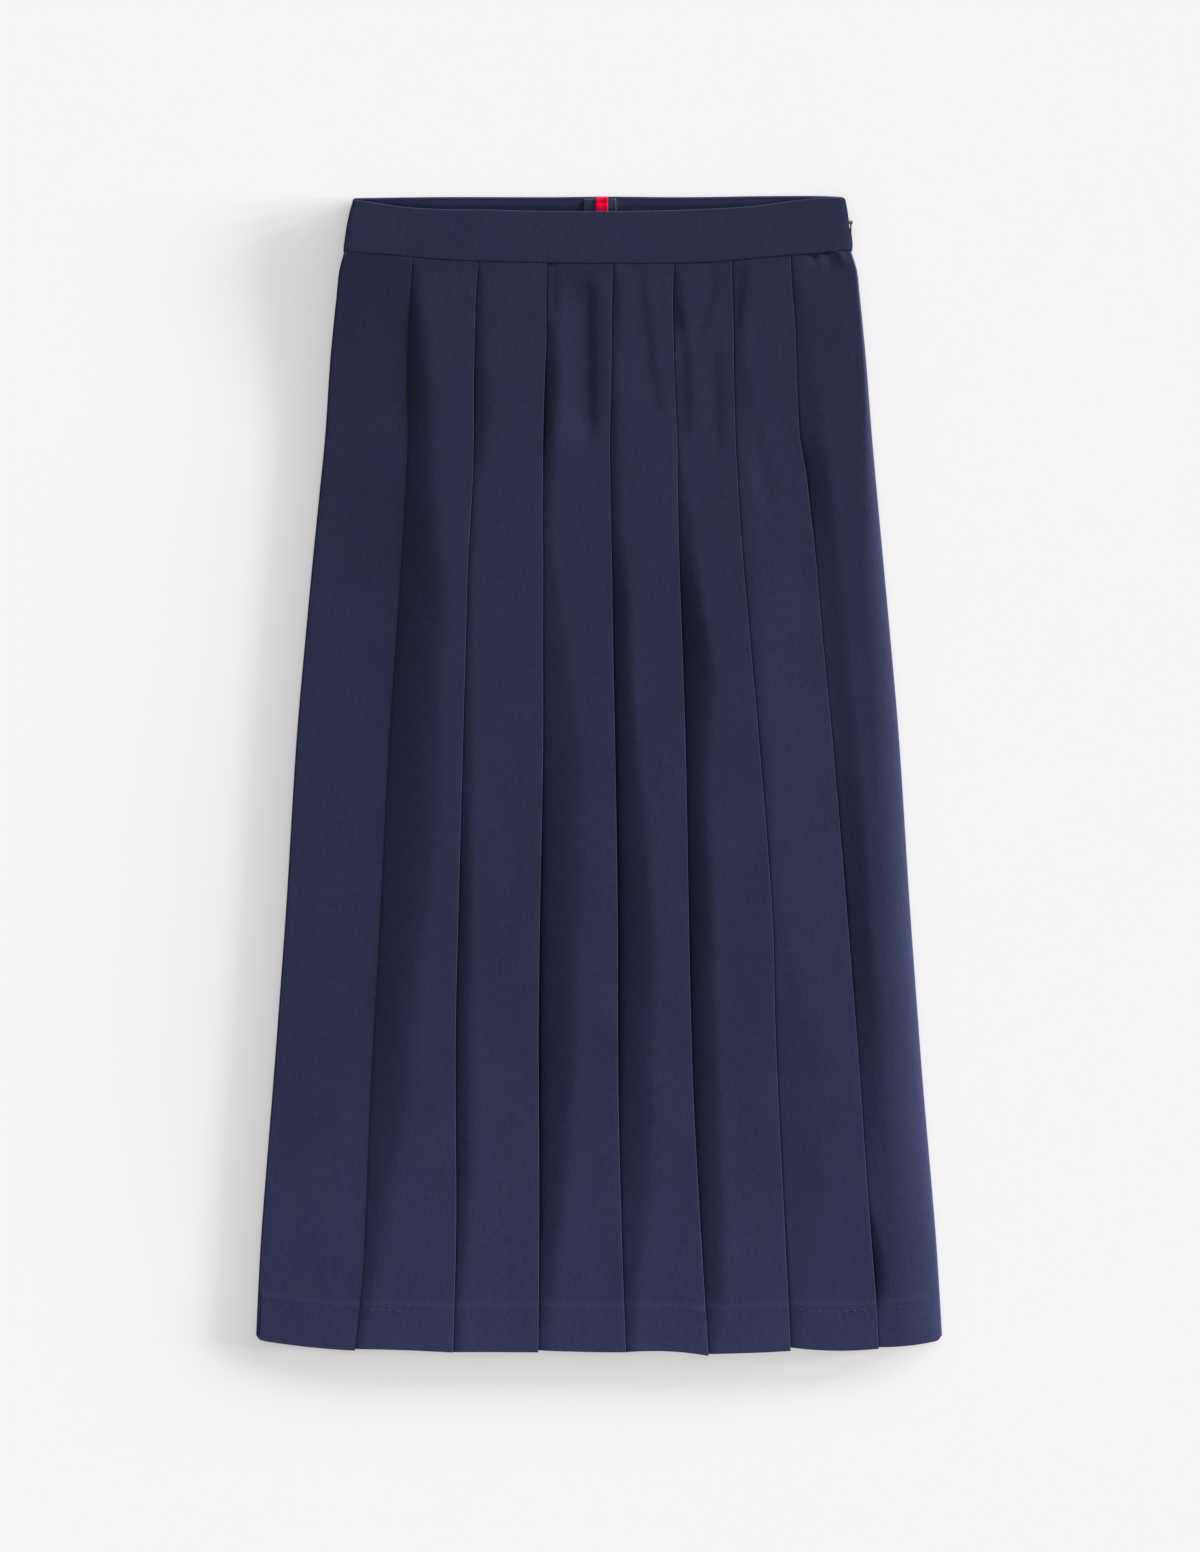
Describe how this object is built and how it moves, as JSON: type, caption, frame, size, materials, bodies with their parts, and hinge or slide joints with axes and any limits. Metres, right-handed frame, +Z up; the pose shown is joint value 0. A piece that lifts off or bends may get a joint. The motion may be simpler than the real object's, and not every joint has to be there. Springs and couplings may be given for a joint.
{
  "type": "pleated midi skirt",
  "caption": "Pleated midi skirt laid flat with its front up: knife pleats below a plain waistband, and a side zip with a hanging pull.",
  "frame": {"origin": "middle of the floor under the garment, at the centre of its bounding box's bottom", "axes": "+X to the right as the front is looked at, +Y along the length up to the waistband, +Z up from the surface that the garment lies on"},
  "size_m": [0.491, 0.8286, 0.008],
  "materials": {
    "navy_cloth": "matte crepe weave with a faint sheen",
    "navy_label": "smooth woven patch",
    "red_tab": "woven ribbon",
    "zip_metal": "dark enamel on zinc, satin"
  },
  "bodies": {
    "skirt": {"front_skirt": "navy_cloth", "back_skirt": "navy_cloth", "front_waistband": "navy_cloth", "back_waistband": "navy_cloth", "label_patch": "navy_label", "red_tab": "red_tab", "zip_slider": "zip_metal"},
    "pull": {"zip_pull": "zip_metal"}
  },
  "joints": [
    {"name": "pull_swing", "type": "hinge", "parent": "skirt", "child": "pull", "pos_m": [0.1802, 0.39585, 0.00255], "axis": [0, 0, 1], "range_deg": [0, 160]}
  ]
}
